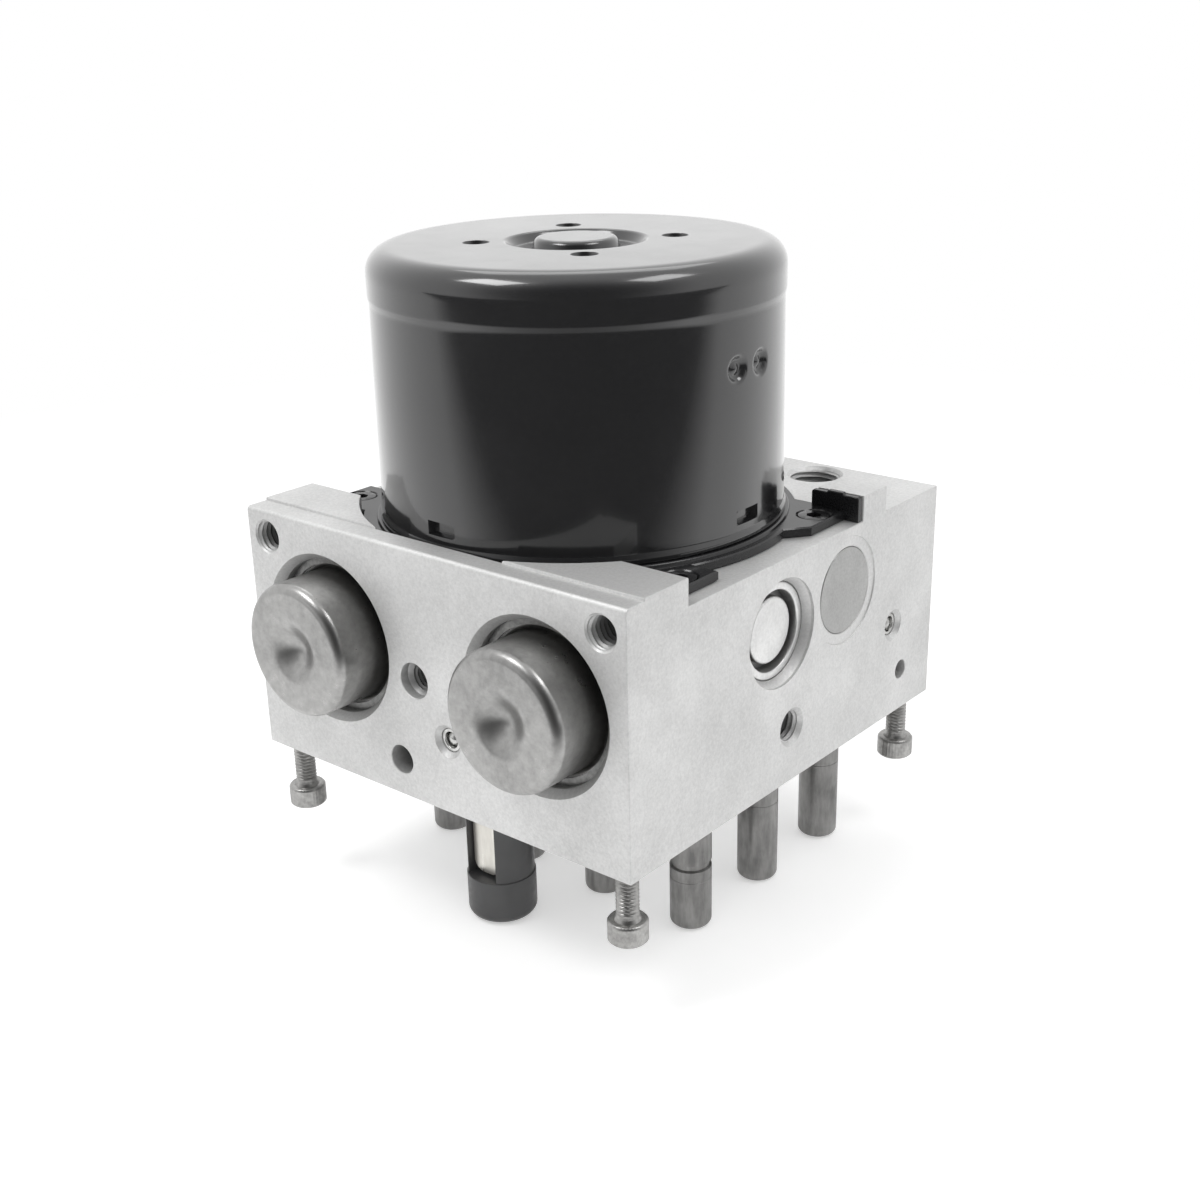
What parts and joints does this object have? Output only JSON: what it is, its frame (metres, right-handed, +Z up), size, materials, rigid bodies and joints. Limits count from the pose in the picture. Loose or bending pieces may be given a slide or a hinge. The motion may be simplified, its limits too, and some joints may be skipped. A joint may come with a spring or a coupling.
{
  "type": "abs brake module",
  "caption": "Brake hydraulic unit: machined valve block with a pump motor in a black can, spring accumulators, ports, valve stems and a connector post.",
  "frame": {"origin": "under the middle of the unit's bounding box, level with the ends of the valve stems and post", "axes": "+Z up along the motor's axis, -Y out of the front face with the accumulators, +X to the right"},
  "size_m": [0.089, 0.1042, 0.1226],
  "materials": {
    "block_aluminium": "machined",
    "can_black": "glossy",
    "plate_black": "semi-gloss",
    "cup_steel": "satin zinc plated",
    "plug_steel": "turned",
    "plug_aluminium": "turned",
    "stem_steel": "drawn",
    "screw_zinc": "zinc plated",
    "ring_steel": "blackened",
    "post_plastic": "matte",
    "holder_plastic": "matte",
    "terminal_tin": "tin plated",
    "rubber": "matte",
    "bearing_steel": "ground",
    "shaft_steel": "ground",
    "core_steel": "stacked laminations",
    "copper": "enamelled copper",
    "segment_copper": "bare copper",
    "magnet_ferrite": "ferrite",
    "carbon": "carbon",
    "spring_steel": "wound wire"
  },
  "bodies": {
    "unit": {"hydraulic_block": "block_aluminium", "motor_can": "can_black", "motor_end_plate": "plate_black", "motor_seal": "rubber", "motor_screws": "plate_black", "brush_holder": "holder_plastic", "magnet_front": "magnet_ferrite", "magnet_rear": "magnet_ferrite", "upper_bearing": "bearing_steel", "lower_bearing": "bearing_steel", "bearing_retainer": "spring_steel", "connector_post": "post_plastic", "motor_terminals": "terminal_tin", "accumulator_rings": "ring_steel", "ball_plugs": "plug_steel", "ecu_screws": "screw_zinc", "brush_spring_left": "spring_steel", "pump_sleeve_left": "bearing_steel", "pump_spring_left": "spring_steel", "pump_plug_left": "plug_aluminium", "damper_plug_left": "plug_aluminium", "accumulator_cup_left": "cup_steel", "accumulator_spring_left": "spring_steel", "brush_spring_right": "spring_steel", "pump_sleeve_right": "bearing_steel", "pump_spring_right": "spring_steel", "pump_plug_right": "plug_aluminium", "damper_plug_right": "plug_aluminium", "accumulator_cup_right": "cup_steel", "accumulator_spring_right": "spring_steel", "inlet_valve_1": "stem_steel", "inlet_valve_2": "stem_steel", "inlet_valve_3": "stem_steel", "inlet_valve_4": "stem_steel", "outlet_valve_1": "stem_steel", "outlet_valve_2": "stem_steel", "outlet_valve_3": "stem_steel", "outlet_valve_4": "stem_steel"},
    "rotor": {"motor_shaft": "shaft_steel", "rotor_core": "core_steel", "rotor_windings": "copper", "commutator": "segment_copper", "eccentric_bearing": "bearing_steel"},
    "pump_piston_left": {"pump_piston_left": "shaft_steel"},
    "pump_piston_right": {"pump_piston_right": "shaft_steel"},
    "accumulator_piston_left": {"accumulator_piston_left": "plug_aluminium", "accumulator_seal_left": "rubber"},
    "accumulator_piston_right": {"accumulator_piston_right": "plug_aluminium", "accumulator_seal_right": "rubber"},
    "brush_left": {"brush_left": "carbon"},
    "brush_right": {"brush_right": "carbon"},
    "inlet_armature_1": {"inlet_armature_1": "core_steel"},
    "inlet_armature_2": {"inlet_armature_2": "core_steel"},
    "inlet_armature_3": {"inlet_armature_3": "core_steel"},
    "inlet_armature_4": {"inlet_armature_4": "core_steel"},
    "outlet_armature_1": {"outlet_armature_1": "core_steel"},
    "outlet_armature_2": {"outlet_armature_2": "core_steel"},
    "outlet_armature_3": {"outlet_armature_3": "core_steel"},
    "outlet_armature_4": {"outlet_armature_4": "core_steel"}
  },
  "joints": [
    {"name": "rotor_spin", "type": "hinge", "parent": "unit", "child": "rotor", "pos_m": [0, -0.0012, 0.09], "axis": [0, 0, 1], "continuous": true},
    {"name": "pump_left", "type": "slide", "parent": "unit", "child": "pump_piston_left", "axis": [-1, 0, 0], "range_m": [0, 0.0024], "stiffness_N_per_m": 1500, "springref_m": -0.008, "deforming": ["pump_spring_left"]},
    {"name": "pump_right", "type": "slide", "parent": "unit", "child": "pump_piston_right", "axis": [1, 0, 0], "range_m": [0, 0.0024], "stiffness_N_per_m": 1500, "springref_m": -0.008, "deforming": ["pump_spring_right"]},
    {"name": "accumulator_left", "type": "slide", "parent": "unit", "child": "accumulator_piston_left", "axis": [0, -1, 0], "range_m": [0, 0.006], "stiffness_N_per_m": 1500, "springref_m": -0.01, "deforming": ["accumulator_spring_left"]},
    {"name": "accumulator_right", "type": "slide", "parent": "unit", "child": "accumulator_piston_right", "axis": [0, -1, 0], "range_m": [0, 0.006], "stiffness_N_per_m": 1500, "springref_m": -0.01, "deforming": ["accumulator_spring_right"]},
    {"name": "brush_left", "type": "slide", "parent": "unit", "child": "brush_left", "axis": [-1, 0, 0], "range_m": [0, 0.003], "stiffness_N_per_m": 500, "springref_m": -0.006, "deforming": ["brush_spring_left"]},
    {"name": "brush_right", "type": "slide", "parent": "unit", "child": "brush_right", "axis": [1, 0, 0], "range_m": [0, 0.003], "stiffness_N_per_m": 500, "springref_m": -0.006, "deforming": ["brush_spring_right"]},
    {"name": "inlet_valve_1", "type": "slide", "parent": "unit", "child": "inlet_armature_1", "axis": [0, 0, 1], "range_m": [0, 0.0003], "stiffness_N_per_m": 2000, "springref_m": -0.004},
    {"name": "inlet_valve_2", "type": "slide", "parent": "unit", "child": "inlet_armature_2", "axis": [0, 0, 1], "range_m": [0, 0.0003], "stiffness_N_per_m": 2000, "springref_m": -0.004},
    {"name": "inlet_valve_3", "type": "slide", "parent": "unit", "child": "inlet_armature_3", "axis": [0, 0, 1], "range_m": [0, 0.0003], "stiffness_N_per_m": 2000, "springref_m": -0.004},
    {"name": "inlet_valve_4", "type": "slide", "parent": "unit", "child": "inlet_armature_4", "axis": [0, 0, 1], "range_m": [0, 0.0003], "stiffness_N_per_m": 2000, "springref_m": -0.004},
    {"name": "outlet_valve_1", "type": "slide", "parent": "unit", "child": "outlet_armature_1", "axis": [0, 0, -1], "range_m": [0, 0.0003], "stiffness_N_per_m": 2000, "springref_m": -0.004},
    {"name": "outlet_valve_2", "type": "slide", "parent": "unit", "child": "outlet_armature_2", "axis": [0, 0, -1], "range_m": [0, 0.0003], "stiffness_N_per_m": 2000, "springref_m": -0.004},
    {"name": "outlet_valve_3", "type": "slide", "parent": "unit", "child": "outlet_armature_3", "axis": [0, 0, -1], "range_m": [0, 0.0003], "stiffness_N_per_m": 2000, "springref_m": -0.004},
    {"name": "outlet_valve_4", "type": "slide", "parent": "unit", "child": "outlet_armature_4", "axis": [0, 0, -1], "range_m": [0, 0.0003], "stiffness_N_per_m": 2000, "springref_m": -0.004}
  ]
}
